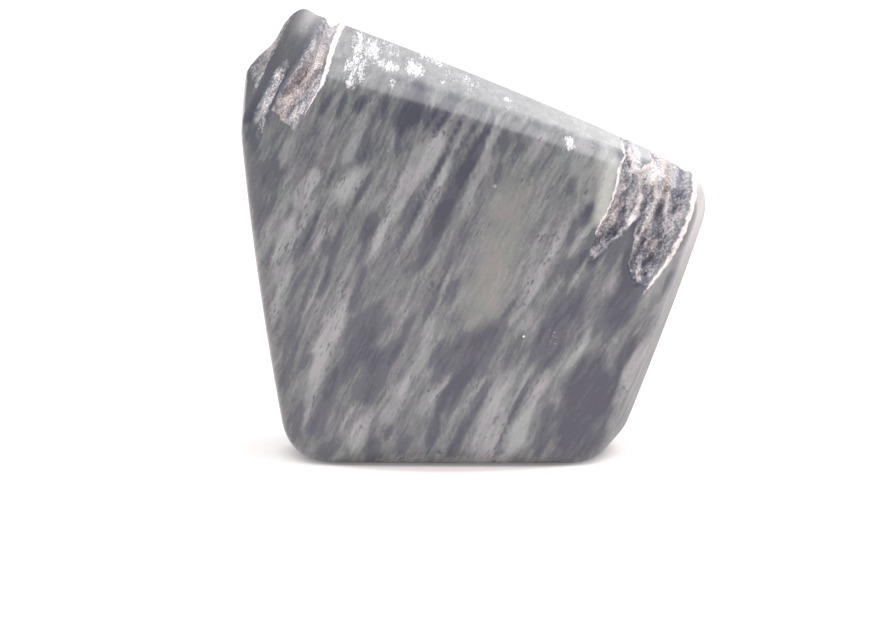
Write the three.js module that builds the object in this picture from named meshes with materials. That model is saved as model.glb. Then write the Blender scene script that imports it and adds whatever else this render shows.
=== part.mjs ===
// A mani stone freeform: one slab of banded grey gneiss, sawn by hand, then tumbled and polished.
// It stands on a flat base. At both upper corners soft beds have broken out and stay rough.
// Millimetres, +Z up. The broad polished face looks along -Y.

import * as THREE from 'three';
import { mergeVertices } from 'three/addons/utils/BufferGeometryUtils.js';

// Driving dimensions

// Sawn faces of the slab. Each has a point on it, the way it looks (turn 0 is -Y, 90 is +X, rise is the
// angle above level) and the radius of its slight dome, or 0 where it is flat.
const faces = {
  left: { at: [-22.8, -0.6, 25], turn: -90, rise: -6.6, dome: 340 },
  right: { at: [22.8, 4.9, 20], turn: 78, rise: -18.6, dome: 410 },
  shoulder: { at: [-19.3, -0.6, 41.2], turn: -72, rise: 42, dome: 0 },
  front: { at: [0, -8.8, 21], turn: 0, rise: 3, dome: 260 },
  back: { at: [0, 6.8, 21], turn: 174, rise: 0, dome: 0 },
};

// The upper face falls to the right, rises a little to the back and is twisted and crowned.
const upper = {
  height: 37.57, fallX: -0.36, riseY: 0.134, twist: -0.0062, crownAt: 3.5, crown: 235, midY: -0.6,
};

// How wide the tumbling has rounded each meeting of faces over.
const rounding = { leftFoot: 4.3, rightFoot: 2.6, upper: 4.9, shoulder: 1.7, front: 2.6, back: 2.6 };

// The beds run through the slab from front to back and lean this far to the right of upright.
const bedLean = THREE.MathUtils.degToRad(28);

// Soft bed at the upper left corner: it broke out along its whole run and left a channel, which is
// shallower towards the back of the stone. Its right wall turns away from the beds higher up.
const channel = {
  left: -34.35, rightFoot: -31.95, rightHead: -32.75, turn: [26.5, 31], leftWall: 0.8, rightWall: 0.5,
  depth: 1.3, foot: 22.1, fade: 4.5, backFade: [0, 6], backDepth: 0.5,
};

// Places on the hard bed to the left of the channel. Its top stands proud, a short slot runs along its
// middle, and its outer flank is nicked.
const proud = { middle: -36.6, halfWidth: 1.4, depth: -0.45, foot: 25.5, head: 40, fade: 4 };
const slot = { middle: -35.75, halfWidth: 0.6, depth: 0.35, foot: 19.8, head: 27, fade: 1.8 };
const nick = { middle: -38.5, halfWidth: 1.25, depth: 0.5, foot: 22.6, head: 29.4, fade: 2 };

// Rough hollow at the upper right corner, wider and deeper towards its right wall.
const hollow = {
  leftFoot: -0.6, leftHead: -2.5, rightFoot: 6.3, rightHead: 6.2, bow: 0.9,
  foot: 23.8, head: 35.3, footFade: 3.4,
  leftWall: 0.7, rightWall: 0.9, leftDepth: 0.6, rightDepth: 1.35,
  backFade: [-3, 4], backDepth: 0.15,
};

// A wedge of the polished upper face is left standing inside the hollow, at its left.
const wedge = { tip: 33.7, tipAcross: 0.1, spread: 0.83, edge: 0.4 };

// Grid that is drawn over the stone: steps along X, Y and Z, and how much closer they are at the edges.
const steps = { x: 38, y: 10, z: 36, crowding: 0.24 };

// The grid starts as a block: the corners of its front view and its half thickness. Its points slide from
// a smaller block to a larger one. reach is how much smaller and larger, and depthReach the same for the
// thickness.
const block = {
  footLeft: [-18.5, 0], footRight: [13.1, 0], headRight: [22.5, 27.5], headLeft: [-22, 45],
  halfThickness: 8, reach: 0.3, depthReach: 0.6,
};

// Each slide is halved this often, and a point that ends this close to the base's plane lies in it.
const halvings = 40;
const baseSnap = 0.01;

// Shape of the stone as a distance, below 0 inside

const heading = (turn, rise) => {
  const t = THREE.MathUtils.degToRad(turn);
  const r = THREE.MathUtils.degToRad(rise);
  return new THREE.Vector3(Math.sin(t) * Math.cos(r), -Math.cos(t) * Math.cos(r), Math.sin(r));
};

const planes = {};
for (const [name, { at, turn, rise, dome }] of Object.entries(faces)) {
  planes[name] = { at: new THREE.Vector3(...at), normal: heading(turn, rise), dome };
}

// Height of a point above a sawn face, whose dome falls away from the face's own point.
const offset = new THREE.Vector3();
function above(point, plane) {
  offset.subVectors(point, plane.at);
  const height = offset.dot(plane.normal);
  return plane.dome ? height + (offset.lengthSq() - height * height) / (2 * plane.dome) : height;
}

function aboveUpper({ x, y, z }) {
  const across = y - upper.midY;
  const face = upper.height + upper.fallX * x + (upper.riseY + upper.twist * x) * across
    - (x - upper.crownAt) ** 2 / (2 * upper.crown);
  return (z - face) / Math.hypot(1, upper.fallX, upper.riseY);
}

// Two faces meet in an edge that is rounded over the given width.
function meet(a, b, width) {
  const overlap = Math.max(width - Math.abs(a - b), 0) / width;
  return Math.max(a, b) + overlap * overlap * width / 4;
}

function slab(point) {
  let d = meet(above(point, planes.left), -point.z, rounding.leftFoot);
  d = meet(d, above(point, planes.right), rounding.rightFoot);
  d = meet(d, aboveUpper(point), rounding.upper);
  d = meet(d, above(point, planes.shoulder), rounding.shoulder);
  d = meet(d, above(point, planes.front), rounding.front);
  return meet(d, above(point, planes.back), rounding.back);
}

// Breaks, as depths below the polished skin at a place across and along the beds

const ramp = THREE.MathUtils.smoothstep;
const mix = THREE.MathUtils.lerp;

function channelDepth(across, along, y) {
  const rightRim = mix(channel.rightFoot, channel.rightHead, ramp(along, ...channel.turn));
  const left = ramp(across, channel.left, channel.left + channel.leftWall);
  const right = 1 - ramp(across, rightRim - channel.rightWall, rightRim);
  const foot = ramp(along, channel.foot, channel.foot + channel.fade);
  return channel.depth * left * right * foot * mix(1, channel.backDepth, ramp(y, ...channel.backFade));
}

function grooveDepth(groove, across, along) {
  const side = 1 - ramp(Math.abs(across - groove.middle), 0, groove.halfWidth);
  const foot = ramp(along, groove.foot, groove.foot + groove.fade);
  const head = 1 - ramp(along, groove.head - groove.fade, groove.head);
  return groove.depth * side * foot * head;
}

function hollowDepth(across, along, y) {
  const climb = (along - hollow.foot) / (hollow.head - hollow.foot);
  const up = THREE.MathUtils.clamp(climb, 0, 1);
  const leftRim = mix(hollow.leftFoot, hollow.leftHead, up * up);
  const rightRim = mix(hollow.rightFoot, hollow.rightHead, up) + 4 * hollow.bow * up * (1 - up);
  const left = ramp(across, leftRim, leftRim + hollow.leftWall);
  const right = 1 - ramp(across, rightRim - hollow.rightWall, rightRim);
  const foot = ramp(along, hollow.foot, hollow.foot + hollow.footFade);
  const depth = mix(hollow.leftDepth, hollow.rightDepth, ramp(across, leftRim, rightRim));
  const back = mix(1, hollow.backDepth, ramp(y, ...hollow.backFade));
  return depth * left * right * foot * back * (1 - wedgeShare(across, along));
}

function wedgeShare(across, along) {
  const halfWidth = (along - wedge.tip) * wedge.spread;
  return 1 - ramp(Math.abs(across - wedge.tipAcross), halfWidth - wedge.edge, halfWidth + wedge.edge);
}

const sinLean = Math.sin(bedLean);
const cosLean = Math.cos(bedLean);

function breakDepth({ x, y, z }) {
  const across = x * cosLean - z * sinLean;
  const along = x * sinLean + z * cosLean;
  const onHardBed = [proud, slot, nick].reduce((sum, place) => sum + grooveDepth(place, across, along), 0);
  return channelDepth(across, along, y) + hollowDepth(across, along, y) + onHardBed;
}

// Skin: a box grid whose points slide out from a core inside the slab until they meet its surface, and
// then sink where the stone has broken

const crowd = (a) => a * (1 + steps.crowding * (1 - a * a));

// X (axis 0) or Z (axis 1) of the block at shares of the way right and up.
function blockAt(axis, right, up) {
  const foot = mix(block.footLeft[axis], block.footRight[axis], right);
  const head = mix(block.headLeft[axis], block.headRight[axis], right);
  return mix(foot, head, up);
}

// Place of grid point a, b, c (each -1 to 1) on the block grown by a share of its reach.
function onBlock(a, b, c, grown, target) {
  const [x, z] = [0, 1].map((axis) => mix(
    blockAt(axis, 0.5, 0.5), blockAt(axis, (a + 1) / 2, (c + 1) / 2), 1 + grown * block.reach));
  return target.set(x, b * block.halfThickness * (1 + grown * block.depthReach), z);
}

// Way out of the slab at a point of its surface.
function outward(point) {
  const h = 0.05;
  const slope = (dx, dy, dz) => slab({ x: point.x + dx, y: point.y + dy, z: point.z + dz })
    - slab({ x: point.x - dx, y: point.y - dy, z: point.z - dz });
  return new THREE.Vector3(slope(h, 0, 0), slope(0, h, 0), slope(0, 0, h)).normalize();
}

function skin() {
  const geometry = new THREE.BoxGeometry(2, 2, 2, steps.x, steps.y, steps.z);
  geometry.deleteAttribute('normal');
  geometry.deleteAttribute('uv');
  const position = geometry.getAttribute('position');
  const core = new THREE.Vector3();
  const rind = new THREE.Vector3();
  const point = new THREE.Vector3();
  for (let i = 0; i < position.count; i++) {
    const [a, b, c] = [position.getX(i), position.getY(i), position.getZ(i)].map(crowd);
    onBlock(a, b, c, -1, core);
    onBlock(a, b, c, 1, rind);
    let inside = 0;
    let outside = 1;
    for (let halving = 0; halving < halvings; halving++) {
      const t = (inside + outside) / 2;
      if (slab(point.lerpVectors(core, rind, t)) < 0) inside = t;
      else outside = t;
    }
    const depth = breakDepth(point);
    if (depth !== 0) point.addScaledVector(outward(point), -depth);
    position.setXYZ(i, point.x, point.y, Math.abs(point.z) < baseSnap ? 0 : point.z);
  }
  return mergeVertices(geometry, 1e-3);
}

const polishedGneiss = new THREE.MeshStandardMaterial({ color: '#87868a', roughness: 0.3, metalness: 0 });

const stoneMesh = new THREE.Mesh(skin(), polishedGneiss);
stoneMesh.name = 'mani_stone';

const part = new THREE.Group();
part.name = 'mani_stone_freeform';
part.add(stoneMesh);

export default part;
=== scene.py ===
import math

import bmesh
import bpy
import numpy as np
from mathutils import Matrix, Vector, noise


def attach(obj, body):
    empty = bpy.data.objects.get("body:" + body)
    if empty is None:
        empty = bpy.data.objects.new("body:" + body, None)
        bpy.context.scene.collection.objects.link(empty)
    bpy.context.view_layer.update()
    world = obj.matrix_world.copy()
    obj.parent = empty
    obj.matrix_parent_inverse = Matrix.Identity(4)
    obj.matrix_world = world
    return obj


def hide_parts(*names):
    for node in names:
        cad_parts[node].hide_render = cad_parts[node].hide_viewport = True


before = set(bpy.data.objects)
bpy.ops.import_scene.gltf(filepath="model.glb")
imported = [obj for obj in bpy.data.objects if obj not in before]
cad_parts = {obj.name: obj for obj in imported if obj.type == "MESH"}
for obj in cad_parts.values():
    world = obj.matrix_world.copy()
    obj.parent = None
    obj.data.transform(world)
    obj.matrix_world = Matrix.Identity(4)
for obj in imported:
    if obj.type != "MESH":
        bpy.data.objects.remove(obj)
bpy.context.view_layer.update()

# Sizes and places are in millimetres, and become metres where a mesh, the floor or the camera is made.
mm = 0.001


def ramp(value, low, high):
    share = np.clip((value - low) / (high - low), 0, 1)
    return share * share * (3 - 2 * share)


def mix(a, b, share):
    return a + (b - a) * share


def perlin(points, size, shift=0.0):
    # Smooth noise from about -1 to 1. The size of its grain is one number, or one each for X, Y and Z.
    spots = points / size + shift
    return np.array([noise.noise(spot) for spot in spots.tolist()]) * 1.6


# Polished skin of the slab, which has the same sawn faces and tumbled edges as the solid

skin = {
    # Each face: a point on it, the turn and rise of the way it looks, and the radius of its dome.
    "faces": {
        "left": ((-22.8, -0.6, 25), -90, -6.6, 340),
        "right": ((22.8, 4.9, 20), 78, -18.6, 410),
        "shoulder": ((-19.3, -0.6, 41.2), -72, 42, 0),
        "front": ((0, -8.8, 21), 0, 3, 260),
        "back": ((0, 6.8, 21), 174, 0, 0),
    },
    "upper": dict(height=37.57, fallX=-0.36, riseY=0.134, twist=-0.0062, crownAt=3.5, crown=235, midY=-0.6),
    "rounding": dict(leftFoot=4.3, right=2.6, upper=4.9, shoulder=1.7, front=2.6, back=2.6),
    "moves": 7,  # how often a point is moved to the skin
    "probe": 0.02,
}


def aboveFace(points, name):
    at, turn, rise, dome = skin["faces"][name]
    turn, rise = math.radians(turn), math.radians(rise)
    normal = np.array((math.sin(turn) * math.cos(rise), -math.cos(turn) * math.cos(rise), math.sin(rise)))
    away = points - np.array(at)
    height = away @ normal
    if dome:
        height = height + ((away ** 2).sum(1) - height ** 2) / (2 * dome)
    return height


def aboveUpper(points):
    u = skin["upper"]
    x, y, z = points.T
    face = u["height"] + u["fallX"] * x + (u["riseY"] + u["twist"] * x) * (y - u["midY"])
    face = face - (x - u["crownAt"]) ** 2 / (2 * u["crown"])
    return (z - face) / math.hypot(1, u["fallX"], u["riseY"])


def meet(a, b, width):
    overlap = np.maximum(width - np.abs(a - b), 0) / width
    return np.maximum(a, b) + overlap * overlap * width / 4


def slab(points):
    width = skin["rounding"]
    d = meet(aboveFace(points, "left"), -points[:, 2], width["leftFoot"])
    d = meet(d, aboveFace(points, "right"), width["right"])
    d = meet(d, aboveUpper(points), width["upper"])
    for name in ("shoulder", "front", "back"):
        d = meet(d, aboveFace(points, name), width[name])
    return d


def outward(points):
    slope = [slab(points + step) - slab(points - step) for step in np.eye(3) * skin["probe"]]
    slope = np.array(slope).T
    return slope / np.linalg.norm(slope, axis=1, keepdims=True)


def settle(points):
    for _ in range(skin["moves"]):
        points = points - outward(points) * slab(points)[:, None]
    return points


# The beds run from front to back and lean to the right. Across and along are measured over them in the
# front view. The banding fans out a little: its lean grows from the left side to the right.

foliation = dict(lean=math.radians(28), fan=0.004)


def bedPlace(points, fan=0.0):
    x, _, z = points.T
    lean = foliation["lean"]
    across = x * math.cos(lean) - z * math.sin(lean) - fan * x * x
    return across, x * math.sin(lean) + z * math.cos(lean)


def streaks(points, marks, stray=0.0):
    # Marks lie along the beds: across and along at the foot, the same at the head, half width, strength.
    across, along = bedPlace(points)
    total = np.zeros(len(points))
    for footAcross, foot, headAcross, head, halfWidth, strength in marks:
        share = np.clip((along - foot) / (head - foot), 0, 1)
        side = (across + stray - mix(footAcross, headAcross, share)) / halfWidth
        end = np.maximum(np.maximum(foot - along, along - head), 0) / (1.6 * halfWidth)
        total += strength * (1 - ramp(np.hypot(side, end), 0.35, 1.4))
    return total


# Upper left corner: a soft bed has broken out into a channel, beside a smooth hard bed with a slot

channel = dict(leftFoot=-34.85, leftHead=-34.3, leftTurn=(23, 29), leftWall=0.5,
               rightFoot=-31.85, rightHead=-32.75, rightTurn=(26.5, 31), rightWall=0.25,
               depth=1.25, foot=22.1, fade=4.5, wornFoot=21.9, wornPast=0.45, backFade=(0, 6), backDepth=0.5)
hardBed = {
    "knob": dict(middle=-36.6, halfWidth=1.4, depth=-0.45, foot=25.5, head=40, fade=4),
    "slot": dict(middle=-35.75, halfWidth=0.6, depth=0.35, foot=19.8, head=27, fade=1.8),
    "bite": dict(middle=-38.5, halfWidth=1.25, depth=0.5, foot=22.6, head=29.4, fade=2),
}

# Upper right corner: a rough hollow. A wedge of the polished upper face is left in it, and a spur of the
# polished front reaches up into it.

hollow = dict(leftFoot=-0.6, leftHead=-2.05, rightFoot=6.3, rightHead=6.2, bow=0.9, foot=23.8, head=35.3,
              footFade=1.9, leftWall=0.3, rightWall=0.65, leftDepth=0.55, rightDepth=1.2,
              backFade=(-3, 4), backDepth=0.15)
wedge = dict(tip=33.7, middle=-0.05, spread=0.78, edge=0.16)
spur = dict(tip=30.5, middle=2.35, spread=0.3, edge=0.14)
ragged = dict(coarse=0.3, coarseSize=1.7, fine=0.14, fineSize=0.45)  # how far a broken edge strays

# Pale rims, partly crushed grain and partly a painted highlight along the sharp polished edge: half widths, and where
# along the beds each begins and fades
rims = {
    "channel": dict(low=0.07, high=0.32, grows=(24.0, 31.0), starts=(21.5, 25.5)),
    "hollowLeft": dict(halfWidth=0.12, starts=(25.6, 28.0)),
    "hollowRight": dict(halfWidth=0.12, headWidth=0.22, starts=(22.0, 25.5)),
    "wedge": dict(halfWidth=0.14, starts=(33.5, 33.9)),
}


def breaks(points):
    # Depth below the skin, and the share of each kind of break and rim at each point.
    across, along = bedPlace(points)
    y = points[:, 1]
    stray = perlin(points, ragged["coarseSize"], 3.1) * ragged["coarse"]
    stray += perlin(points, ragged["fineSize"], 3.1) * ragged["fine"]

    c = channel
    left = mix(c["leftFoot"], c["leftHead"], ramp(along, *c["leftTurn"])) - stray * 0.5
    right = mix(c["rightFoot"], c["rightHead"], ramp(along, *c["rightTurn"])) - stray * 0.25
    sides = ramp(across, left, left + c["leftWall"]) * (1 - ramp(across, right - c["rightWall"], right))
    depth = c["depth"] * sides * ramp(along + stray, c["foot"], c["foot"] + c["fade"])
    depth *= mix(1, c["backDepth"], ramp(y, *c["backFade"]))
    inChannel = ramp(across, left - c["wornPast"], left) * (1 - ramp(across, right - c["rightWall"], right))
    inChannel *= ramp(along + stray * 2, c["wornFoot"] - 0.5, c["wornFoot"] + 0.7)
    r = rims["channel"]
    width = mix(r["low"], r["high"], ramp(along, *r["grows"]))
    rim = (1 - ramp(np.abs(across - right - width * 0.8) / width, 0.4, 1.5)) * ramp(along, *r["starts"])

    inSlot = np.zeros(len(points))
    for name, g in hardBed.items():
        share = 1 - ramp(np.abs(across + stray * 0.3 - g["middle"]), 0, g["halfWidth"])
        share *= ramp(along, g["foot"], g["foot"] + g["fade"])
        share *= 1 - ramp(along, g["head"] - g["fade"], g["head"])
        depth += g["depth"] * share
        if name == "slot":
            inSlot = share

    h = hollow
    front = 1 - ramp(y, *h["backFade"])
    up = np.clip((along - h["foot"]) / (h["head"] - h["foot"]), 0, 1)
    left = mix(h["leftFoot"], h["leftHead"], up ** 3) - stray * 0.6
    right = mix(h["rightFoot"], h["rightHead"], up) + 4 * h["bow"] * up * (1 - up) - stray * 0.35
    inHollow = ramp(across, left, left + h["leftWall"])
    inHollow *= 1 - ramp(across, right - h["rightWall"], right)
    inHollow *= ramp(along + stray * 2.5, h["foot"], h["foot"] + h["footFade"])
    offWedge = np.abs(across + stray * 0.5 - wedge["middle"]) - (along - wedge["tip"]) * wedge["spread"]
    offSpur = np.abs(across + stray * 0.8 - spur["middle"]) - (spur["tip"] - along) * spur["spread"]
    inHollow *= ramp(offWedge, -wedge["edge"], wedge["edge"]) * ramp(offSpur, -spur["edge"], spur["edge"])
    deep = mix(h["leftDepth"], h["rightDepth"], ramp(across, left, right))
    depth += deep * inHollow * mix(h["backDepth"], 1, front)
    rimOffsets = {
        "hollowLeft": np.abs(across - left + 0.05),
        "hollowRight": np.abs(across - right - 0.1),
        "wedge": np.abs(offWedge + 0.05),
    }
    for name, off in rimOffsets.items():
        r = rims[name]
        width = mix(r["halfWidth"], r.get("headWidth", r["halfWidth"]), ramp(along, h["foot"], 31))
        rim += (1 - ramp(off / width, 0.4, 1.6)) * ramp(along, *r["starts"]) * front
    return depth, inChannel, inSlot, inHollow, np.clip(rim, 0, 1)


# Relief on the broken floors: ridges and pockets along the beds, the larger ones placed one by one, and
# grains. Higher places are paler.

relief = {
    "ridge": 0.12, "ridgeSize": (0.6, 4.0, 2.6),
    "fold": 0.09, "foldSize": (0.28, 1.2, 1.0),
    "grain": 0.05, "grainSize": 0.2,
    "placed": 0.2,
    # Shown in the colour, the height paints shade into the pockets and paler crushed grain onto the crests
    "shows": 0.65,  # how much of the height shows in the colour
    "onTop": 0.3,  # what is left of the relief where the hollow meets the upper face
    "ridges": [
        (1.14, 26.4, 1.93, 29.2, 0.28, 0.9), (1.93, 29.2, 1.78, 31.7, 0.34, 0.9),
        (1.78, 31.7, 0.43, 33.8, 0.45, 0.8), (3.07, 32.4, 2.02, 34.4, 0.35, 0.8), (-0.9, 31.0, -1.3, 32.8, 0.4, 0.5),
        (3.69, 25.9, 3.48, 27.1, 0.22, 0.8), (3.48, 27.1, 3.34, 29.0, 0.24, 0.9),
        (3.34, 29.0, 3.44, 31.7, 0.25, 0.8), (4.75, 31.7, 4.21, 33.2, 0.24, 0.6),
        (6.5, 30.2, 6.11, 31.7, 0.35, 0.6), (5.5, 27.1, 4.93, 28.5, 0.45, 0.7),
        (5.39, 24.8, 4.47, 26.1, 0.4, 0.8), (1.6, 34.9, 2.6, 35.6, 0.9, 0.6),
        (-0.22, 28.3, 0.06, 30.6, 0.45, 0.7), (-34.3, 24.5, -33.9, 29.5, 0.45, 0.4),
    ],
    "pockets": [
        (-0.08, 33.8, -0.91, 34.55, 0.3, 1.3), (-0.91, 34.55, -2.0, 35.25, 0.22, 1.0),
        (1.1, 28.6, 0.1, 30.8, 0.45, 1.2), (2.4, 30.9, 1.58, 32.7, 0.3, 1.2),
        (4.9, 29.4, 3.95, 31.7, 0.62, 1.3), (5.34, 34.5, 5.2, 35.6, 0.45, 1.0),
        (3.95, 28.0, 3.9, 28.9, 0.24, 1.0), (-0.08, 25.9, 0.8, 27.4, 0.5, 1.3),
        (5.9, 28.6, 5.34, 29.6, 0.38, 1.0), (5.34, 26.1, 5.59, 26.9, 0.32, 1.0),
        (6.22, 23.7, 5.99, 24.9, 0.32, 0.8), (5.74, 32.4, 4.59, 34.2, 0.42, 0.6),
        (-33.2, 23.4, -32.6, 24.2, 0.28, 0.9), 
    ],
}


def reliefOf(points, normals):
    across, along = bedPlace(points, foliation["fan"])
    beds = np.stack((across, points[:, 1], along), 1)
    r = relief
    lift = perlin(beds, r["ridgeSize"]) * r["ridge"] + perlin(beds, r["foldSize"], 7.7) * r["fold"]
    lift += perlin(points, r["grainSize"], 1.3) * r["grain"]
    lift += (streaks(points, r["ridges"], lift) - streaks(points, r["pockets"], lift)) * r["placed"]
    return lift, mix(1, r["onTop"], ramp(normals[:, 2], 0.15, 0.6))


# Colour laid on places along the beds: dark hard bed, pale crust, rust and the greenish lens, which are the stone's
# own; painted shade in the hollow and along the channel's left wall; and a painted sheen on the upper right flank

stains = {
    "dark": [
        (-35.9, 26.4, -35.9, 31.5, 1.6, 1.15),    # body of the hard bed
        (-36.6, 20.2, -37.1, 26.8, 0.45, 1.3),     # its dark margins, left and right of the slot
        # Painted shade: this dark stripe runs along the channel's left wall, where shade falls into the break
        (-35.2, 22.4, -35.2, 28.2, 0.25, 1.2),
        (-37.7, 19.0, -38.3, 22.6, 1.0, 1.0),
        (-35.3, 17.6, -35.4, 20.6, 0.8, 0.5),
    ],
    # Painted shade: darker broken colour at the foot of the hollow and along its right side, the deep recesses where
    # shade falls
    "shade": [
        (5.4, 23.6, 4.4, 26.4, 1.7, 0.5),          # foot of the hollow and its right side
        (0.2, 24.4, 1.6, 27.0, 1.0, 0.3),
        (6.6, 26.6, 6.9, 31.0, 0.6, 0.6),
    ],
    "pale": [
        (-34.95, 19.9, -35.65, 22.2, 0.32, 0.38),  # slot
        (-35.65, 22.2, -35.95, 25.2, 0.5, 0.42),
        (-35.95, 25.2, -35.7, 26.5, 0.4, 0.28),
        (-36.0, 30.8, -35.4, 33.4, 1.2, 0.2),      # top of the hard bed
        (-33.9, 23.0, -33.6, 29.4, 0.6, 0.35),     # floor of the channel
        (-38.3, 24.0, -38.1, 26.4, 0.8, 0.55),     # outer flank
        (-38.3, 26.6, -37.9, 29.2, 0.9, 0.85),
        (-37.35, 22.9, -37.5, 24.8, 0.2, 0.5),
        (-33.1, 22.2, -33.25, 18.4, 0.08, 0.5),    # thin vein below the channel
        (-33.3, 29.4, -33.2, 32.6, 0.7, 0.45),     # head of the channel
        (-32.3, 24.0, -32.3, 27.6, 0.5, 0.4),
        (-0.1, 33.9, -0.45, 35.0, 0.5, 0.95),      # lower half of the wedge

    ],
    "rust": [
        (-34.2, 22.2, -33.3, 29.3, 0.9, 0.75),
        (-38.3, 25.4, -38.0, 29.6, 0.9, 0.7),
        (-35.7, 22.4, -35.8, 25.6, 0.5, 0.25),
        (3.76, 33.6, 3.31, 35.2, 0.45, 1.0),
        (-0.22, 28.3, 0.06, 30.6, 0.4, 0.5),
        (5.5, 27.1, 4.93, 28.5, 0.4, 0.7),
        (3.07, 32.4, 2.02, 34.4, 0.35, 0.4),
        (1.78, 31.7, 0.43, 33.8, 0.45, 0.3),
    ],
    "lens": [(-7.3, 15.8, -9.4, 24.6, 2.1, 1.0)],
    # Milky beds, and in the last mark a painted sheen: paler colour on the upper right flank standing in for its
    # reflection
    "milkyAndSheen": [(-36.1, 30.8, -35.4, 33.4, 1.1, 0.24), (-35.9, 27.4, -35.8, 30.4, 1.0, 0.07),
              (-1.1, 28.4, -2.3, 32.6, 0.8, 0.8), (-2.9, 29.8, -3.8, 33.0, 0.7, 0.3), (7.9, 27.5, 8.1, 33.4, 0.7, 0.25)],
}

paleBehind = 0.45  # what is left of the pale crust at the back

# White patches on the upper face: X and Y of the middle, the half lengths along X and Y, and strength

patches = [
    (-12.6, -6.4, 0.6, 2.2, 0.75), (-11.9, 1.6, 0.8, 4.2, 0.65), (-10.6, 0.6, 0.8, 4.0, 0.9),
    (-11.6, -3.6, 0.7, 3.4, 0.75), (-8.9, -3.0, 1.0, 1.9, 0.9), (-6.3, -0.8, 0.9, 3.2, 0.95),
    (-4.4, 4.4, 1.6, 1.6, 0.7), (-8.5, -6.3, 0.25, 0.5, 0.8), (-3.4, -2.9, 0.3, 0.6, 0.8),
    (3.2, -1.3, 0.42, 1.0, 1.2), (9.3, -7.2, 0.42, 0.5, 1.0), (15.2, -3.0, 0.35, 0.7, 0.6),
    (-0.6, -2.6, 0.35, 0.7, 0.6), (-1.5, 0.5, 2.2, 2.5, 0.4), (-9.6, 3.0, 2.0, 3.0, 0.35),
]


def patchesAt(points, normals):
    total = np.zeros(len(points))
    for x, y, halfX, halfY, strength in patches:
        away = np.hypot((points[:, 0] - x) / halfX, (points[:, 1] - y) / halfY)
        total = np.maximum(total, strength * (1 - ramp(away, 0.5, 1.5)))
    return total * ramp(normals[:, 2], 0.15, 0.4)


# Light and dark beds as they lie in the front view: X and Z of both ends, half width, and tone from
# -1 (darkest) to 1 (lightest). They run through the stone and drift sideways towards the back.

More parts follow.
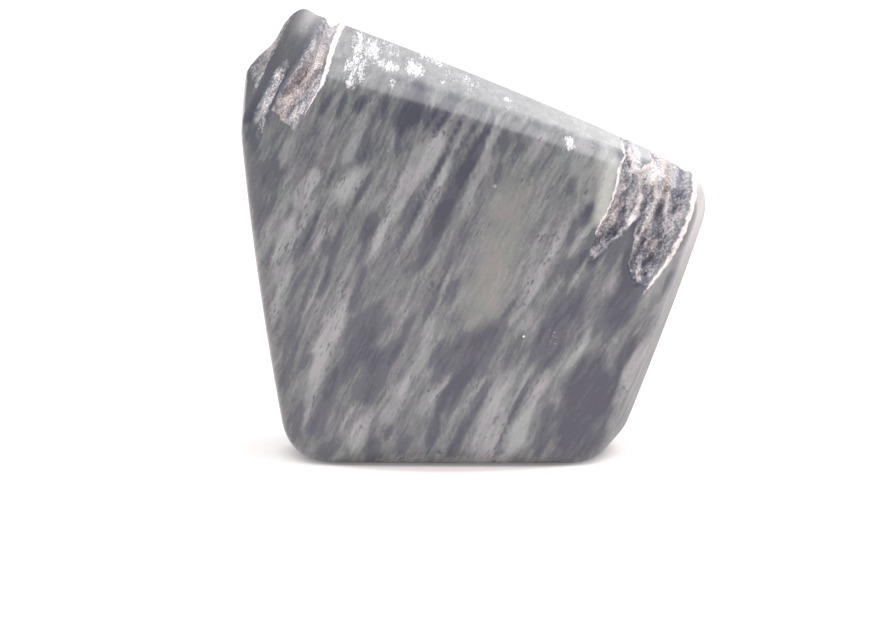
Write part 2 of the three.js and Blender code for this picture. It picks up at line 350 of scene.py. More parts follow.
bands = {
    "light": [
        (-16.0, 29.6, -16.6, 28.6, 0.6, 1.0), (-16.8, 28.8, -17.9, 26.8, 0.7, 0.7),
        (-11.6, 30.0, -13.4, 27.6, 0.9, 0.8), (-12.2, 33.2, -13.1, 31.0, 0.6, 0.55),
        (-11.3, 35.4, -12.6, 32.8, 0.5, 0.4), (-18.6, 32.8, -19.4, 30.8, 0.6, 0.3),
        (-18.4, 25.0, -19.9, 21.2, 0.9, 0.8), (-17.3, 25.0, -17.7, 23.6, 0.35, 0.5),
        (-15.0, 24.9, -16.5, 21.5, 0.3, 0.5), (-18.6, 20.6, -19.8, 18.0, 0.6, 0.45),
        (-12.3, 21.2, -13.9, 17.8, 0.35, 0.5), (-13.4, 17.2, -15.2, 12.0, 0.95, 0.95),
        (-15.4, 12.2, -16.6, 7.0, 0.8, 0.95), (-16.6, 7.0, -17.2, 4.8, 0.35, 0.5),
        (-11.9, 7.0, -13.9, 3.6, 0.25, 0.55), (-11.0, 5.4, -12.8, 1.5, 0.8, 0.8),
        (-4.2, 33.0, -6.2, 29.6, 1.3, 0.8), (-6.4, 29.8, -8.6, 25.6, 0.8, 0.9),
        (-8.6, 26.2, -10.4, 21.6, 0.5, 0.95), (-0.8, 35.4, -2.3, 31.6, 0.4, 0.65),
        (-2.6, 31.4, -4.8, 26.8, 0.42, 0.75), (-4.8, 26.8, -6.9, 23.0, 0.45, 0.55),
        (2.1, 34.9, 0.2, 29.2, 0.5, 0.65), (0.2, 29.6, -1.7, 25.0, 0.45, 0.55),
        (-3.7, 22.2, -5.6, 19.0, 0.3, 0.35), (-5.6, 18.0, -7.6, 15.2, 0.5, 0.3),
        (-7.0, 15.6, -8.3, 13.0, 0.3, 0.3), (-4.4, 15.2, -5.2, 12.6, 0.5, 0.5),
        (-5.4, 11.4, -7.6, 8.0, 0.6, 0.5), (-7.4, 8.4, -9.4, 4.6, 0.9, 0.5),
        (-4.2, 8.2, -5.8, 6.0, 0.6, 0.4), (1.1, 9.4, -2.0, 5.8, 0.3, 0.5),
        (-2.0, 5.9, -3.9, 1.4, 0.3, 0.5), (2.6, 8.0, 0.0, 0.2, 1.3, 0.9),
        (6.9, 9.6, 5.6, 6.6, 0.55, 1.0), (5.6, 6.8, 3.0, 0.8, 0.85, 1.0),
        (4.2, 16.0, 3.4, 14.6, 0.3, 0.5), (6.6, 24.0, 3.6, 17.8, 0.8, 0.4),
        (-20.0, 17.4, -20.6, 14.6, 0.5, 0.4), (5.4, 16.0, 4.7, 13.8, 0.35, 0.45),
        (8.9, 25.4, 7.9, 22.2, 0.55, 0.55), (7.7, 22.2, 5.0, 16.6, 0.42, 0.7),
        (11.5, 24.8, 10.7, 23.6, 0.3, 0.9), (10.4, 23.4, 9.2, 21.6, 0.3, 0.45),
        (11.4, 14.0, 10.6, 12.2, 0.35, 0.75), (10.6, 12.4, 9.1, 10.3, 0.4, 0.65),
        (17.0, 12.4, 14.4, 7.4, 0.75, 0.9), (14.2, 7.4, 11.6, 3.6, 0.45, 0.7),
        (19.2, 20.4, 16.2, 15.8, 0.75, 0.5), (13.2, 31.8, 12.7, 26.4, 1.1, 0.8), (10.6, 32.6, 10.0, 29.6, 1.2, 0.5),
        (-18.9, 21.4, -19.8, 16.4, 0.7, 0.35), (14.4, 24.5, 11.6, 19.8, 0.3, 0.5),
        (8.4, 1.9, 8.2, 1.0, 0.4, 0.4), (-16.3, 27.0, -17.2, 24.6, 0.7, 0.45),
        (6.8, 33.4, 5.8, 31.4, 0.8, 0.35), (5.9, 20.0, 4.9, 17.4, 0.7, 0.45),
        # Painted light: these two rows lighten the foot of the front, where light from the table falls; they are not
        # beds
        (3.0, 0.4, -1.2, 0.4, 0.9, 0.6), (-5.8, 0.6, -9.0, 0.6, 0.8, 0.3),
    ],
    "dark": [
        (-5.9, 37.6, -7.2, 34.6, 1.1, -1.2), (-7.3, 34.2, -8.1, 31.6, 0.35, -0.7),
        (-8.9, 37.8, -9.5, 35.2, 0.3, -0.65), (-11.4, 36.9, -12.0, 36.2, 0.5, -0.8),
        (-13.1, 37.4, -13.8, 35.4, 0.35, -0.8), (-3.1, 31.8, -5.2, 27.8, 0.32, -0.8),
        (-5.2, 28.0, -7.6, 22.8, 0.34, -0.7), (1.5, 35.0, 0.4, 33.0, 0.4, -0.85),
        (0.6, 33.2, -1.4, 29.6, 0.75, -0.85), (-1.4, 30.0, -3.6, 25.2, 0.95, -0.7),
        (-3.2, 26.0, -5.9, 20.6, 0.85, -0.75), (3.0, 34.0, 1.9, 28.8, 0.3, -0.35),
        (5.0, 34.2, 3.6, 32.2, 0.9, -0.35), (-11.0, 33.2, -11.7, 30.2, 0.4, -0.55),
        (-10.4, 29.8, -12.8, 25.8, 0.42, -0.65), (-12.8, 26.0, -15.8, 17.4, 0.35, -0.55),
        (-9.8, 26.0, -11.4, 23.4, 0.7, -0.75), (-16.1, 24.9, -17.7, 21.6, 0.32, -0.6),
        (-14.6, 23.0, -14.9, 21.8, 0.5, -0.5), (-22.2, 32.5, -22.0, 24.5, 0.9, -0.5),
        (-20.2, 31.0, -20.8, 26.5, 1.0, -0.35), (-14.7, 19.6, -15.9, 17.4, 0.4, -0.6),
        (-11.4, 19.6, -12.7, 16.2, 0.4, -0.65), (-10.2, 15.2, -12.8, 10.4, 1.7, -0.65),
        (-9.0, 11.8, -11.2, 7.6, 1.5, -0.8), (-14.3, 9.4, -15.2, 7.2, 0.5, -0.6),
        (-18.2, 13.6, -19.4, 9.0, 0.8, -0.45), (-18.0, 6.2, -18.6, 3.0, 0.8, -0.3),
        (-3.7, 18.4, -5.0, 15.4, 0.4, -0.5), (-2.2, 18.8, -2.9, 17.2, 0.5, -0.65),
        (-6.5, 15.2, -8.2, 11.4, 0.6, -0.55), (-3.6, 12.8, -4.5, 10.6, 0.5, -0.6),
        (0.7, 13.8, -1.6, 9.8, 1.7, -0.75), (-0.9, 9.6, -3.2, 6.2, 0.8, -0.7), (-2.2, 12.6, -4.2, 8.6, 0.7, -0.5),
        (-3.2, 8.2, -4.0, 6.0, 0.4, -0.65), (1.3, 8.8, -0.8, 4.6, 0.42, -0.6),
        (-0.8, 5.0, -2.6, 1.6, 0.55, -0.7), (-4.0, 5.0, -4.7, 2.4, 0.55, -0.85),
        (2.9, 15.8, 1.4, 13.8, 0.45, -0.45), (9.9, 25.2, 9.2, 22.6, 0.35, -0.55),
        (8.9, 21.4, 7.0, 18.2, 0.4, -0.5), (10.9, 22.0, 8.8, 19.4, 0.5, -0.65), (12.2, 27.0, 10.2, 16.0, 1.1, -0.3),
        (11.2, 26.6, 10.5, 24.8, 0.42, -0.8), (9.7, 29.4, 9.2, 27.6, 0.5, -0.35),
        (9.2, 17.2, 6.4, 10.8, 1.5, -0.65), (4.6, 13.4, 3.0, 10.6, 0.8, -0.5), (11.6, 9.6, 9.6, 2.0, 2.4, -1.0),
        (13.4, 9.0, 12.6, 6.0, 1.2, -0.9), (7.4, 6.2, 6.2, 2.0, 0.7, -0.7),
        (15.4, 18.0, 13.4, 15.0, 1.7, -0.85), (13.4, 24.6, 11.6, 20.4, 0.9, -0.6),
        (16.8, 25.2, 15.0, 19.4, 1.2, -0.8), (-2.6, 37.0, -4.0, 34.4, 0.9, -0.4), (15.0, 21.8, 14.8, 19.2, 0.5, -0.7),
        (15.6, 12.8, 14.6, 10.8, 0.6, -0.75), (15.6, 5.2, 14.4, 3.6, 0.4, -0.7),
        (-10.2, 2.6, -10.8, 1.2, 0.7, -0.6), (-8.7, 4.1, -9.1, 3.2, 0.35, -0.65),
        (-14.2, 2.6, -15.6, 1.2, 0.7, -0.5), (-14.8, 7.0, -16.4, 3.2, 0.9, -0.5), (-6.9, 3.0, -7.6, 1.4, 0.5, -0.4),
        (12.3, 29.4, 11.6, 27.6, 0.5, -0.4), (13.9, 23.8, 13.1, 20.8, 0.8, -0.35),
        (10.2, 15.0, 9.6, 13.2, 0.8, -0.35), (20.9, 23.6, 20.4, 22.2, 0.4, -0.8),
        (20.2, 21.0, 18.9, 18.0, 0.4, -0.6),
    ],
    "thin": [
        (-15.1, 19.8, -17.4, 15.4, 0.15, 0.35), (-14.4, 25.0, -15.0, 23.4, 0.15, 0.4),
        (-10.3, 37.5, -11.1, 36.2, 0.3, 0.4), (-2.3, 35.7, -4.2, 32.4, 0.3, 0.45),
        (-2.1, 21.2, -3.8, 17.2, 0.25, 0.4), (-1.9, 10.4, -4.6, 6.8, 0.24, 0.5),
        (5.6, 10.6, 3.9, 7.2, 0.22, 0.55), (11.0, 21.3, 9.1, 17.8, 0.27, 0.75),
        (13.0, 21.8, 11.3, 18.2, 0.25, 0.35), (14.5, 20.2, 12.3, 17.2, 0.25, 0.3),
        (12.8, 11.4, 11.2, 9.2, 0.2, 0.25), (16.9, 15.0, 15.2, 12.8, 0.15, 0.35),
        (10.7, 3.0, 10.1, 1.2, 0.14, 0.3), (8.3, 7.2, 7.4, 4.7, 0.22, 0.25),
        (-9.3, 37.6, -10.6, 34.4, 0.22, -0.55), (-14.3, 37.8, -15.6, 35.2, 0.25, -0.7),
        (-4.7, 36.6, -5.0, 34.2, 0.28, -0.7), (-3.9, 36.5, -4.3, 35.4, 0.25, -0.7),
        (-2.5, 36.4, -4.9, 32.6, 0.18, -0.75), (-1.1, 35.8, -2.9, 32.3, 0.14, -0.65),
        (-0.1, 34.6, -0.5, 33.6, 0.18, -0.5), (-14.3, 29.9, -15.0, 28.2, 0.22, -0.5),
        (-15.8, 25.8, -16.1, 25.0, 0.22, -0.7), (-20.0, 22.9, -21.0, 20.6, 0.16, -0.6),
        (-17.4, 19.9, -19.2, 16.2, 0.28, -0.5), (-16.0, 20.0, -17.6, 16.2, 0.2, -0.5),
        (-16.7, 11.4, -17.4, 10.2, 0.22, -0.5), (-4.3, 19.2, -4.9, 18.0, 0.16, -0.8),
        (-2.3, 21.6, -4.2, 17.6, 0.18, -0.45), (5.2, 9.0, 3.4, 5.2, 0.25, -0.75),
        (3.4, 5.2, 2.0, 2.1, 0.15, -0.75), (2.2, 5.6, 1.7, 4.5, 0.16, -0.6),
        (3.7, 17.0, 2.5, 15.4, 0.18, -0.6), 
        (-10.1, 3.8, -10.8, 2.2, 0.28, -0.4), (-11.0, 7.2, -11.4, 6.4, 0.25, -0.6),
    ],
}
drift = dict(frontY=-8.5, reach=0.13, size=9.0)
banding = dict(contrast=1.27)
worn = dict(facing=(0.2, 0.7), upTo=(14, 26), roughness=0.45)  # the right flank is less polished lower down
frayed = dict(reach=0.28, size=(0.8, 1.5, 2.2))  # how unevenly a bed's edge runs


def bandTone(points, kinds=("light", "dark", "thin")):
    depth = np.maximum(points[:, 1] - drift["frontY"], 0)
    x = points[:, 0] + perlin(points, drift["size"], 11.0) * drift["reach"] * depth
    z = points[:, 2]
    across, along = bedPlace(points)
    fray = perlin(np.stack((across, points[:, 1], along), 1), frayed["size"], 5.3) * frayed["reach"]
    tone = np.zeros(len(points))
    for x0, z0, x1, z1, halfWidth, strength in [row for kind in kinds for row in bands[kind]]:
        length = math.hypot(x1 - x0, z1 - z0)
        wayX, wayZ = (x1 - x0) / length, (z1 - z0) / length
        offX, offZ = x - (x0 + x1) / 2, z - (z0 + z1) / 2
        lengthwise = (offX * wayX + offZ * wayZ) / (length / 2 + halfWidth)
        sideways = (offX * wayZ - offZ * wayX) / halfWidth
        tone += strength * (1 - ramp(np.hypot(lengthwise, sideways) + fray, 0.6, 1.3))
    return tone


# Mesh of the stone: a copy of the solid, cut finer, moved to the skin and then sunk into the breaks

cutting = dict(join=1e-6, frontTo=-3.0, sideTo=1.0, backwards=0.25, upFrom=0.35, margin=0.5, backTo=3.0,
               finestTo=0.5)
longest = dict(anywhere=0.4, shown=0.25, detailed=0.17, broken=0.11)  # an edge that stays uncut


def placesOf(bm):
    bm.verts.index_update()
    return np.array([v.co for v in bm.verts]) / mm


def cutFiner(bm, wanted, longest):
    edges = [e for e in bm.edges if wanted[e.verts[0].index] and wanted[e.verts[1].index]]
    edges = [e for e in edges if e.calc_length() > longest * mm]
    bmesh.ops.subdivide_edges(bm, edges=edges, cuts=1, use_grid_fill=True)


def onShow(places):
    facing = outward(places)
    front = (places[:, 1] < cutting["sideTo"]) & (facing[:, 1] < cutting["backwards"])
    return front | (facing[:, 2] > cutting["upFrom"])


def atBreaks(places):
    across, along = bedPlace(places)
    m = cutting["margin"]
    left = (across > hardBed["bite"]["middle"] - 1 - m) & (across < channel["rightFoot"] + m)
    left &= along > hardBed["slot"]["foot"] - m
    right = (across > hollow["leftHead"] - m) & (across < hollow["rightHead"] + hollow["bow"] + m)
    right &= along > hollow["foot"] - m
    return (left | right) & (places[:, 1] < cutting["backTo"])


def atThinBeds(places):
    return (np.abs(bandTone(places, ["thin"])) > 0.02) & (places[:, 1] < cutting["frontTo"])


def onBroken(places):
    _, inChannel, inSlot, inHollow, rim = breaks(places)
    return (inChannel + inSlot + inHollow + rim > 0.02) & (places[:, 1] < cutting["finestTo"])


def makeStone():
    bm = bmesh.new()
    bm.from_mesh(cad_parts["mani_stone"].data)
    bmesh.ops.remove_doubles(bm, verts=bm.verts, dist=cutting["join"])
    bmesh.ops.join_triangles(bm, faces=bm.faces, angle_face_threshold=math.pi, angle_shape_threshold=math.pi)
    cutFiner(bm, np.ones(len(bm.verts), bool), longest["anywhere"])
    cutFiner(bm, onShow(placesOf(bm)), longest["shown"])
    cutFiner(bm, ~onShow(placesOf(bm)), longest["anywhere"])
    places = placesOf(bm)
    cutFiner(bm, atBreaks(places) | atThinBeds(places), longest["detailed"])
    cutFiner(bm, onBroken(placesOf(bm)), longest["broken"])
    bmesh.ops.triangulate(bm, faces=[f for f in bm.faces if len(f.verts) > 4])
    polished = settle(placesOf(bm))
    normals = outward(polished)
    depth, inChannel, inSlot, inHollow, rim = breaks(polished)
    rough = np.clip(inChannel + inSlot * 0.5 + inHollow, 0, 1)
    lift, shown = reliefOf(polished, normals)
    sunk = depth - lift * rough * shown
    places = (polished - normals * sunk[:, None]) * mm
    places[:, 2] = np.maximum(places[:, 2], 0)
    for v, place in zip(bm.verts, places.tolist()):
        v.co = place
    for f in bm.faces:
        f.smooth = True
    mesh = bpy.data.meshes.new("mani_stone_finished")
    bm.to_mesh(mesh)
    bm.free()
    print("stone:", len(mesh.vertices), "points,", sum(len(p.vertices) - 2 for p in mesh.polygons), "triangles")

    # Dark stains: the hard bed's own dark colour, and painted shade along the channel's left wall
    dark = streaks(polished, stains["dark"])
    marks = {
        "tone": np.clip(bandTone(polished) * banding["contrast"] - dark, -1.3, 1.2),
        "rough": rough,
        # lift: relief height as colour, with painted shade in the pockets, less the dark stains and the painted shade
        # of the hollow
        "lift": lift * relief["shows"] / relief["placed"] - dark - streaks(polished, stains["shade"]),
        "pale": streaks(polished, stains["pale"]) * mix(1, paleBehind, ramp(polished[:, 1], *hollow["backFade"])),
        "rim": rim,
        "worn": ramp(normals[:, 0], *worn["facing"]) * (1 - ramp(polished[:, 2], *worn["upTo"])),
        "patch": patchesAt(polished, normals),
        "rust": np.clip(streaks(polished, stains["rust"]), 0, 1),
        "lens": streaks(polished, stains["lens"]),
        "milkyAndSheen": streaks(polished, stains["milkyAndSheen"]),
    }
    for name, values in marks.items():
        layer = mesh.attributes.new(name, "FLOAT", "POINT")
        layer.data.foreach_set("value", values.astype(np.float32))
    piece = bpy.data.objects.new("mani_stone_finished", mesh)
    bpy.context.scene.collection.objects.link(piece)
    return piece


# Materials

def linear(hexColour):
    channels = [int(hexColour[i:i + 2], 16) / 255 for i in (1, 3, 5)]
    return tuple(c / 12.92 if c <= 0.04045 else ((c + 0.055) / 1.055) ** 2.4 for c in channels) + (1,)


def addNode(tree, kind, settings=None, inputs=None, out=0, stops=()):
    # An input is given by its name or number, as a value or as the output that is linked to it. Stops are
    # the places and colours of a colour ramp.
    node = tree.nodes.new("ShaderNode" + kind)
    for name, value in (settings or {}).items():
        setattr(node, name, value)
    for name, value in (inputs or {}).items():
        if isinstance(value, bpy.types.NodeSocket):
            tree.links.new(value, node.inputs[name])
        else:
            node.inputs[name].default_value = value
    for number, (position, colour) in enumerate(stops):
        elements = node.color_ramp.elements
        stop = elements[number] if number < 2 else elements.new(position)
        stop.position, stop.color = position, linear(colour)
    return node.outputs[out] if node.outputs else None


smooth = {"interpolation_type": "SMOOTHSTEP"}
colours = {"data_type": "RGBA"}
multiply = {"operation": "MULTIPLY"}
multiplyAdd = {"operation": "MULTIPLY_ADD"}

gneiss = {
    "tones": [  # steps of tone, flat where a bed is even and steep at its edges
        (0.00, "#4a4a54"), (0.13, "#55555e"), (0.24, "#5b5b62"), (0.34, "#5d5e64"), (0.44, "#6c6d6f"),
        (0.55, "#757576"), (0.65, "#828283"), (0.82, "#8b8a8b"), (1.00, "#9b9a9a"),
    ],
    "range": 1.2,            # tone at both ends of the steps
    "lensHues": ["#8d9089", "#9a938c", "#97968a"],  # epidote, feldspar and mica of the lens
    "lensHueSize": 1.6,
    "lensShare": 0.4,
    "lensEvenness": 0.22,
    # The same colour also paints a sheen on the upper right flank
    "milkyAndSheen": "#c9c8bf",      # feldspar-rich bed beside the broken corner
    "milkyShare": 0.75,
    # Banding and wisps: size across, through and along the beds, strength, and detail
    "noises": [((1.5, 5.0, 7.0), 1.1, 1.0), ((0.45, 1.8, 2.7), 1.5, 1.0), ((0.2, 0.5, 0.5), 0.7, 1.0)],
    # Dark flecks of mica in the light beds: grain, swarms, share of a swarm, where they begin, depth
    "flecks": dict(grain=(0.2, 0.6, 0.62), swarm=(1.6, 3.0, 3.2), weight=0.7, begin=(0.13, 0.34), depth=0.95),
    "warp": (4.0, 0.8),
    "mottle": (0.35, 0.2),
    "hues": ("#f8fefe", "#fbfbff"),
    "hueSize": 3.0,
    "roughness": 0.2,
    "ior": 1.54,
}
broken = {
    "tones": [(0.0, "#4b4c59"), (1.0, "#e0dddd"), (0.28, "#686872"), (0.45, "#8b898f"), (0.62, "#a9a6a9"),
              (0.8, "#c8c4c4")],
    "rust": ["#e0cdbe", "#f2eae4"],      # tints of limonite stain, deep and faint
    "crust": ["#8b8a94", "#e5e4e8"],     # crushed feldspar: grey to white grains
    # Rim colour: crushed grain and a painted highlight on the sharp polished edges
    "rim": "#e9e2e0",
    "warmCrust": ["#938a88", "#dcd4d0"],
    "patch": "#dad9dc",                  # the same on the upper face, where it is thin
    "roughness": 0.8,
    "gritSize": 0.14,
    "gritDepth": 0.035,
}
# Single grains, flecks and painted glints on the front: X and Z, radius across the beds, colour and share
specks = {
    "round": dict(stretch=1.0, marks=[
        # Painted glints: the white dot and the pale grey specks stand for sparkles of light; the brown specks are
        # grains
        (4.7, 13.45, 0.16, "#f4f3f0", 0.8), (1.8, 28.5, 0.24, "#b8b8b6", 0.5),
        (7.3, 14.1, 0.09, "#b4b4b6", 0.4), (7.75, 13.85, 0.12, "#b4b4b6", 0.5), (7.95, 13.3, 0.09, "#b4b4b6", 0.4),
        (7.6, 13.5, 0.08, "#b4b4b6", 0.4), (7.85, 12.7, 0.11, "#b4b4b6", 0.5), (7.4, 12.95, 0.09, "#b4b4b6", 0.4),
        (-12.45, 4.9, 0.2, "#7c625c", 0.6), (0.0, 2.4, 0.17, "#7c625c", 0.6),
        (-7.5, 6.6, 0.16, "#7c625c", 0.5), (5.5, 30.5, 0.16, "#84706a", 0.5),
    ]),
    "long": dict(stretch=3.0, marks=[
        (8.3, 29.3, 0.17, "#58585f", 0.8), (8.5, 31.7, 0.15, "#5c5c62", 0.7), (10.0, 33.1, 0.16, "#5c5c62", 0.7),
        (10.9, 27.9, 0.2, "#55555c", 0.8), (11.6, 29.2, 0.16, "#5c5c62", 0.7), (12.6, 29.2, 0.14, "#5c5c62", 0.7),
        (12.75, 31.4, 0.15, "#606066", 0.7), (12.9, 30.2, 0.15, "#606066", 0.7),
        (4.5, 29.1, 0.17, "#58585f", 0.8), (4.6, 26.5, 0.15, "#606066", 0.6), (1.2, 24.6, 0.14, "#606066", 0.6),
        (-1.6, 24.0, 0.16, "#58585f", 0.7), (7.45, 28.3, 0.16, "#55555c", 0.8),
        (7.05, 27.4, 0.15, "#58585f", 0.8), (-5.8, 9.1, 0.14, "#5c5c62", 0.7), (-14.9, 15.7, 0.16, "#606066", 0.7),
        (-15.5, 14.5, 0.16, "#5c5c62", 0.7), (-14.9, 10.1, 0.17, "#5c5c62", 0.7),
    ]),
}


def bedCoordinates(tree, place):
    # Millimetres across, through and along the beds: straight, and bent by the fan and by a slow noise.
    straight = addNode(tree, "Mapping", None, {"Vector": place, "Rotation": (0, -foliation["lean"], 0)})
    x = addNode(tree, "SeparateXYZ", None, {0: place}, "X")
    fan = addNode(tree, "Math", multiply, {0: x, 1: x})
    fan = addNode(tree, "Math", multiply, {0: fan, 1: -foliation["fan"]})
    fan = addNode(tree, "CombineXYZ", None, {"X": fan})
    size, reach = gneiss["warp"]
    wave = addNode(tree, "TexNoise", None, {"Vector": straight, "Scale": 1 / size, "Detail": 2.0}, "Color")
    wave = addNode(tree, "VectorMath", {"operation": "SUBTRACT"}, {0: wave, 1: (0.5, 0.5, 0.5)})
    wave = addNode(tree, "VectorMath", multiply, {0: wave, 1: (reach, reach, reach)})
    bent = addNode(tree, "VectorMath", {"operation": "ADD"}, {0: straight, 1: fan})
    return straight, addNode(tree, "VectorMath", {"operation": "ADD"}, {0: bent, 1: wave})


def grainAlong(tree, beds, size, detail=1.0):
    # Noise about 0, whose grain has the given size across, through and along the beds.
    scaled = addNode(tree, "VectorMath", {"operation": "DIVIDE"}, {0: beds, 1: size})
    grain = addNode(tree, "TexNoise", None, {"Vector": scaled, "Scale": 1.0, "Detail": detail}, "Fac")
    return addNode(tree, "Math", {"operation": "SUBTRACT"}, {0: grain, 1: 0.5})


def bandColour(tree, beds, place):
    g = gneiss
    lens = addNode(tree, "Attribute", {"attribute_name": "lens"}, out="Fac")
    bare = addNode(tree, "Math", multiplyAdd, {0: lens, 1: -g["lensEvenness"], 2: 1.0})
    wisps = 0.0
    for size, weight, detail in g["noises"]:
        wisps = addNode(tree, "Math", multiplyAdd, {0: grainAlong(tree, beds, size, detail), 1: weight, 2: wisps})
    tone = addNode(tree, "Attribute", {"attribute_name": "tone"}, out="Fac")
    tone = addNode(tree, "Math", {"operation": "ADD"}, {0: tone, 1: wisps})
    tone = addNode(tree, "Math", multiply, {0: tone, 1: bare})

    f = g["flecks"]
    flecks = grainAlong(tree, beds, f["swarm"])
    flecks = addNode(tree, "Math", multiplyAdd, {
        0: flecks, 1: f["weight"], 2: grainAlong(tree, beds, f["grain"], 0.5)})
    low, high = f["begin"]
    flecks = addNode(tree, "MapRange", smooth, {
        "Value": flecks, "From Min": low, "From Max": high, "To Max": -f["depth"]})
    light = addNode(tree, "MapRange", smooth, {"Value": tone, "From Min": -0.2, "From Max": 0.5})
    tone = addNode(tree, "Math", multiplyAdd, {0: flecks, 1: light, 2: tone})
    share = addNode(tree, "MapRange", None, {"Value": tone, "From Min": -g["range"], "From Max": g["range"]})
    colour = addNode(tree, "ValToRGB", None, {"Fac": share}, "Color", g["tones"])

    green = addNode(tree, "TexNoise", None, {"Vector": beds, "Scale": 1 / g["lensHueSize"], "Detail": 2.0}, "Fac")
    green = addNode(tree, "ValToRGB", None, {"Fac": green}, "Color", zip((0.35, 0.65, 0.5), g["lensHues"]))
    greenShare = addNode(tree, "Math", multiply, {0: lens, 1: g["lensShare"]})
    colour = addNode(tree, "Mix", colours, {0: greenShare, 6: colour, 7: green}, 2)

    milkyAndSheen = addNode(tree, "Attribute", {"attribute_name": "milkyAndSheen"}, out="Fac")
    milkyAndSheen = addNode(tree, "Math", {"operation": "MULTIPLY", "use_clamp": True}, {0: milkyAndSheen, 1: g["milkyShare"]})
    colour = addNode(tree, "Mix", colours, {0: milkyAndSheen, 6: colour, 7: linear(g["milkyAndSheen"])}, 2)

    hue = addNode(tree, "MapRange", smooth, {
        "Value": grainAlong(tree, place, (g["hueSize"],) * 3), "From Min": -0.15, "From Max": 0.15})
    hue = addNode(tree, "Mix", colours, {0: hue, 6: linear(g["hues"][0]), 7: linear(g["hues"][1])}, 2)
    size, depth = g["mottle"]
    mottle = grainAlong(tree, place, (size,) * 3, 2.0)
    mottle = addNode(tree, "Math", multiplyAdd, {0: mottle, 1: depth, 2: 1.0})
    hue = addNode(tree, "VectorMath", {"operation": "SCALE"}, {0: hue, "Scale": mottle})
    return addNode(tree, "VectorMath", multiply, {0: colour, 1: hue})


def withSpecks(tree, colour, straight):
    lean = foliation["lean"]
    for kind in specks.values():
        # Depth counts for a tenth, so that a speck is found at the skin but doesn't run through the stone.
        shape = (1.0, 0.1, 1 / kind["stretch"])
        scaled = addNode(tree, "VectorMath", multiply, {0: straight, 1: shape})
        for x, z, radius, speck, strength in kind["marks"]:
            across = x * math.cos(lean) - z * math.sin(lean)
            along = (x * math.sin(lean) + z * math.cos(lean)) / kind["stretch"]
            at = (across, skin["faces"]["front"][0][1] * shape[1], along)
            away = addNode(tree, "VectorMath", {"operation": "DISTANCE"}, {0: scaled, 1: at}, "Value")
            near = addNode(tree, "MapRange", smooth, {
                "Value": away, "From Min": radius, "From Max": radius * 0.4, "To Max": strength})
            colour = addNode(tree, "Mix", colours, {0: near, 6: colour, 7: linear(speck)}, 2)
    return colour


def brokenColour(tree, beds, rust):
    b = broken
    # lift carries painted shade: darker in pockets and at the hollow's foot, paler on crests
    lift = addNode(tree, "Attribute", {"attribute_name": "lift"}, out="Fac")
    tone = addNode(tree, "Math", multiplyAdd, {0: grainAlong(tree, beds, (0.5, 0.9, 1.7)), 1: 1.4, 2: lift})
    fine = grainAlong(tree, beds, (0.17, 0.25, 0.24), 2.0)
    tone = addNode(tree, "Math", multiplyAdd, {0: fine, 1: 3.2, 2: tone})
    share = addNode(tree, "MapRange", None, {"Value": tone, "From Min": -1.6, "From Max": 1.4})
    colour = addNode(tree, "ValToRGB", None, {"Fac": share}, "Color", b["tones"])
    spots = grainAlong(tree, beds, (0.4, 0.7, 0.7), 2.0)
    spots = addNode(tree, "MapRange", smooth, {"Value": spots, "From Min": 0.12, "From Max": -0.12})
    stain = addNode(tree, "Mix", colours, {0: spots, 6: linear(b["rust"][0]), 7: linear(b["rust"][1])}, 2)
    stain = addNode(tree, "Mix", colours, {0: rust, 6: (1, 1, 1, 1), 7: stain}, 2)
    return addNode(tree, "VectorMath", multiply, {0: colour, 1: stain})


# How a pale mark frays: grains across, through and along the beds with their weights, where the mark
# begins and is whole, and its greatest share
frays = {
    "pale": dict(grains=[((0.4, 0.9, 0.6), 1.6), ((0.18, 0.25, 0.22), 1.8)], begin=0.1, whole=1.0, most=0.92),
    "rim": dict(grains=[((0.3, 0.5, 0.8), 1.4), ((0.14, 0.25, 0.2), 1.2)], begin=0.25, whole=0.95, most=0.95),
    "patch": dict(grains=[((0.4, 5.0, 0.9), 2.2), ((0.13, 0.8, 0.2), 2.8)], begin=0.35, whole=1.2, most=0.95),
}


def raggedShare(tree, beds, name):
    fray = frays[name]
    mark = addNode(tree, "Attribute", {"attribute_name": name}, out="Fac")
    held = addNode(tree, "MapRange", smooth, {"Value": mark, "From Max": 0.35})
    grain = 0.0
    for size, weight in fray["grains"]:
        grain = addNode(tree, "Math", multiplyAdd, {0: grainAlong(tree, beds, size), 1: weight, 2: grain})
    share = addNode(tree, "Math", multiplyAdd, {0: grain, 1: held, 2: mark})
    return addNode(tree, "MapRange", None, {
        "Value": share, "From Min": fray["begin"], "From Max": fray["whole"], "To Max": fray["most"]})


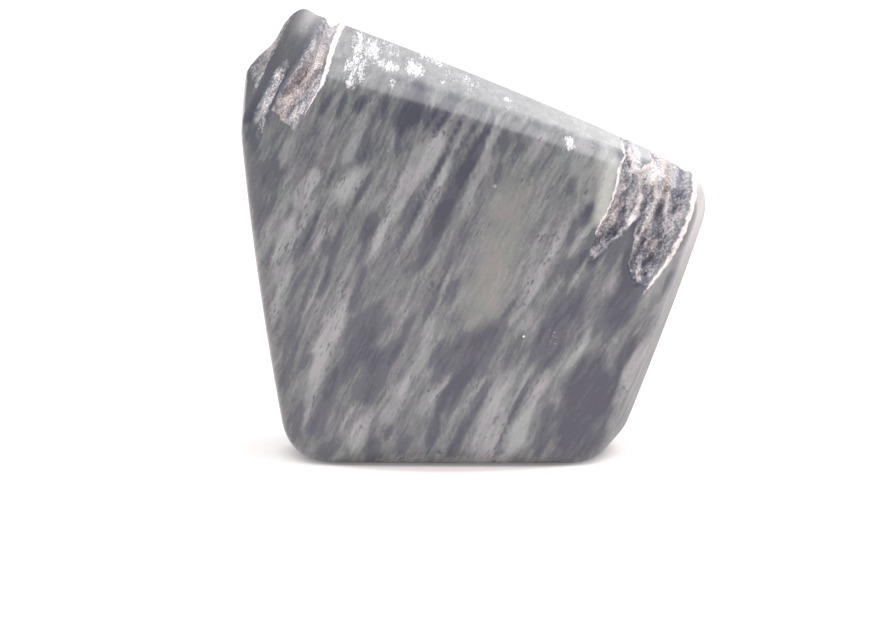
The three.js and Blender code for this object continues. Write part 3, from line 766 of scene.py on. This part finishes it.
def gneissMaterial():
    # Tumbled and polished banded gneiss: a soft wet-looking polish over streaky grey beds, dull and
    # gritty where the beds have broken out.
    material = bpy.data.materials.new("tumble_polished_gneiss")
    material.use_nodes = True
    tree = material.node_tree
    shader = tree.nodes["Principled BSDF"]
    place = addNode(tree, "TexCoord", out="Object")
    place = addNode(tree, "VectorMath", {"operation": "SCALE"}, {0: place, "Scale": 1 / mm})
    straight, beds = bedCoordinates(tree, place)
    rust = addNode(tree, "Attribute", {"attribute_name": "rust"}, out="Fac")
    rough = addNode(tree, "Attribute", {"attribute_name": "rough"}, out="Fac")
    rough = addNode(tree, "MapRange", smooth, {"Value": rough, "From Min": 0.05, "From Max": 0.5})
    crust, rim, patch = (raggedShare(tree, beds, name) for name in ("pale", "rim", "patch"))

    polished = withSpecks(tree, bandColour(tree, beds, place), straight)
    polished = addNode(tree, "Mix", colours, {0: patch, 6: polished, 7: linear(broken["patch"])}, 2)
    colour = addNode(tree, "Mix", colours, {0: rough, 6: polished, 7: brokenColour(tree, beds, rust)}, 2)
    grains = addNode(tree, "MapRange", smooth, {
        "Value": grainAlong(tree, beds, (0.16, 0.2, 0.22)), "From Min": -0.16, "From Max": 0.1})
    pale = addNode(tree, "Mix", colours, {
        0: grains, 6: linear(broken["crust"][0]), 7: linear(broken["crust"][1])}, 2)
    warm = addNode(tree, "Mix", colours, {
        0: grains, 6: linear(broken["warmCrust"][0]), 7: linear(broken["warmCrust"][1])}, 2)
    pale = addNode(tree, "Mix", colours, {0: rust, 6: pale, 7: warm}, 2)
    colour = addNode(tree, "Mix", colours, {0: crust, 6: colour, 7: pale}, 2)
    # Rims: pale grain with a painted highlight along the polished edges of the breaks
    colour = addNode(tree, "Mix", colours, {0: rim, 6: colour, 7: linear(broken["rim"])}, 2)
    tree.links.new(colour, shader.inputs["Base Color"])

    dull = addNode(tree, "Math", {"operation": "MAXIMUM"}, {0: rough, 1: crust})
    dull = addNode(tree, "Math", {"operation": "MAXIMUM"}, {0: dull, 1: rim})
    dull = addNode(tree, "Math", {"operation": "MAXIMUM"}, {0: dull, 1: patch})
    lower = addNode(tree, "Attribute", {"attribute_name": "worn"}, out="Fac")
    lower = addNode(tree, "MapRange", None, {
        "Value": lower, "To Min": gneiss["roughness"], "To Max": worn["roughness"]})
    finish = addNode(tree, "Mix", {"data_type": "FLOAT"}, {0: dull, 2: lower, 3: broken["roughness"]})
    tree.links.new(finish, shader.inputs["Roughness"])
    grit = grainAlong(tree, place, (broken["gritSize"],) * 3, 2.0)
    grit = addNode(tree, "Math", multiply, {0: grit, 1: dull})
    bump = addNode(tree, "Bump", None, {"Height": grit, "Strength": 1.0, "Distance": broken["gritDepth"] * mm})
    tree.links.new(bump, shader.inputs["Normal"])
    shader.inputs["IOR"].default_value = gneiss["ior"]
    return material


# Studio: a glowing white table in a white tent. The table glows less in an oval under and around the stone,
# a painted contact shadow. The tent is bright above and behind, dim in front below the upper edge that the
# polished front would mirror, and dim behind to the left, which the hard bed mirrors.

studio = {
    "floorSize": 4000,
    "floorColour": "#b0a7a7",
    "tentColour": "#fffdfd",
    # Glow of the table: low under and around the stone, painting its contact shadow, and high away from it
    "glow": (0.2, 0.58),         # of the table under the stone and away from it
    "paintedShadowMiddle": (-2.7, -1.0),
    "paintedShadowHalf": (15.4, 9.4),
    "paintedShadowFade": (0.95, 1.2),
    "backdrop": 1.1,
    "front": 0.17,
    "above": 4.0,
    "behind": 2.45,
    "behindLeft": 0.28,
    "leftEdge": (-0.2, 0.5),  # sideways share of the way out, where the dim part ends
    "edge": (33, 41),            # elevation in degrees where the bright part begins in front
}


def makeFloor():
    bm = bmesh.new()
    bmesh.ops.create_grid(bm, x_segments=1, y_segments=1, size=studio["floorSize"] * mm / 2)
    mesh = bpy.data.meshes.new("studio_table")
    bm.to_mesh(mesh)
    bm.free()
    table = bpy.data.objects.new("studio_table", mesh)
    table.location.z = -0.02 * mm
    bpy.context.scene.collection.objects.link(table)
    material = bpy.data.materials.new("matt_white_acrylic")
    material.use_nodes = True
    tree = material.node_tree
    shader = tree.nodes["Principled BSDF"]
    place = addNode(tree, "TexCoord", out="Object")
    place = addNode(tree, "VectorMath", {"operation": "SUBTRACT"}, {
        0: place, 1: [middle * mm for middle in studio["paintedShadowMiddle"]] + [0]})
    place = addNode(tree, "VectorMath", {"operation": "DIVIDE"}, {
        0: place, 1: [half * mm for half in studio["paintedShadowHalf"]] + [1]})
    away = addNode(tree, "VectorMath", {"operation": "LENGTH"}, {0: place}, "Value")
    # Painted shadow: the table's glow drops inside the oval round the stone
    glow = addNode(tree, "MapRange", smooth, {
        "Value": away, "From Min": studio["paintedShadowFade"][0], "From Max": studio["paintedShadowFade"][1],
        "To Min": studio["glow"][0], "To Max": studio["glow"][1]})
    tree.links.new(glow, shader.inputs["Emission Strength"])
    shader.inputs["Base Color"].default_value = linear(studio["floorColour"])
    shader.inputs["Roughness"].default_value = 0.9
    shader.inputs["Specular IOR Level"].default_value = 0.0
    shader.inputs["Emission Color"].default_value = (1, 1, 1, 1)
    mesh.materials.append(material)


def makeTent():
    world = bpy.data.worlds.new("white_tent")
    bpy.context.scene.world = world
    world.use_nodes = True
    tree = world.node_tree
    tree.nodes.clear()
    way = addNode(tree, "TexCoord", out="Generated")
    sideways = addNode(tree, "SeparateXYZ", None, {0: way}, "X")
    back = addNode(tree, "SeparateXYZ", None, {0: way}, "Y")
    up = addNode(tree, "SeparateXYZ", None, {0: way}, "Z")
    low, high = (math.sin(math.radians(angle)) for angle in studio["edge"])
    front = addNode(tree, "MapRange", smooth, {
        "Value": up, "From Min": low, "From Max": high, "To Min": studio["front"], "To Max": studio["above"]})
    low, high = studio["leftEdge"]
    behind = addNode(tree, "MapRange", smooth, {
        "Value": sideways, "From Min": low, "From Max": high,
        "To Min": studio["behindLeft"], "To Max": studio["behind"]})
    back = addNode(tree, "MapRange", smooth, {"Value": back, "From Min": -0.35, "From Max": 0.35})
    light = addNode(tree, "Mix", {"data_type": "FLOAT"}, {0: back, 2: front, 3: behind})
    seen = addNode(tree, "LightPath", out="Is Camera Ray")
    light = addNode(tree, "Mix", {"data_type": "FLOAT"}, {0: seen, 2: light, 3: studio["backdrop"]})
    walls = addNode(tree, "Background", None, {"Color": linear(studio["tentColour"]), "Strength": light})
    addNode(tree, "OutputWorld", None, {"Surface": walls})


# Camera: the photograph looks down on the stone by ten degrees through a long lens

view = dict(target=(-3.62, -8.6, 15.35), distance=330, elevation=10, lens=134.85, sensor=36)


def makeCamera():
    data = bpy.data.cameras.new("camera")
    data.sensor_width = view["sensor"]
    data.lens = view["lens"]
    data.clip_start, data.clip_end = 0.01, 20
    camera = bpy.data.objects.new("camera", data)
    rise = math.radians(view["elevation"])
    back = Vector((0, -math.cos(rise), math.sin(rise)))
    camera.location = (Vector(view["target"]) + back * view["distance"]) * mm
    camera.rotation_euler = back.to_track_quat("Z", "Y").to_euler()
    bpy.context.scene.collection.objects.link(camera)
    bpy.context.scene.camera = camera


makeCamera()
print("camera placed")
stone = makeStone()
stone.data.materials.append(gneissMaterial())
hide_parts("mani_stone")
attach(stone, "root")
print("stone finished")
makeFloor()
makeTent()
bpy.context.scene.view_settings.view_transform = "Standard"
print("studio lit")
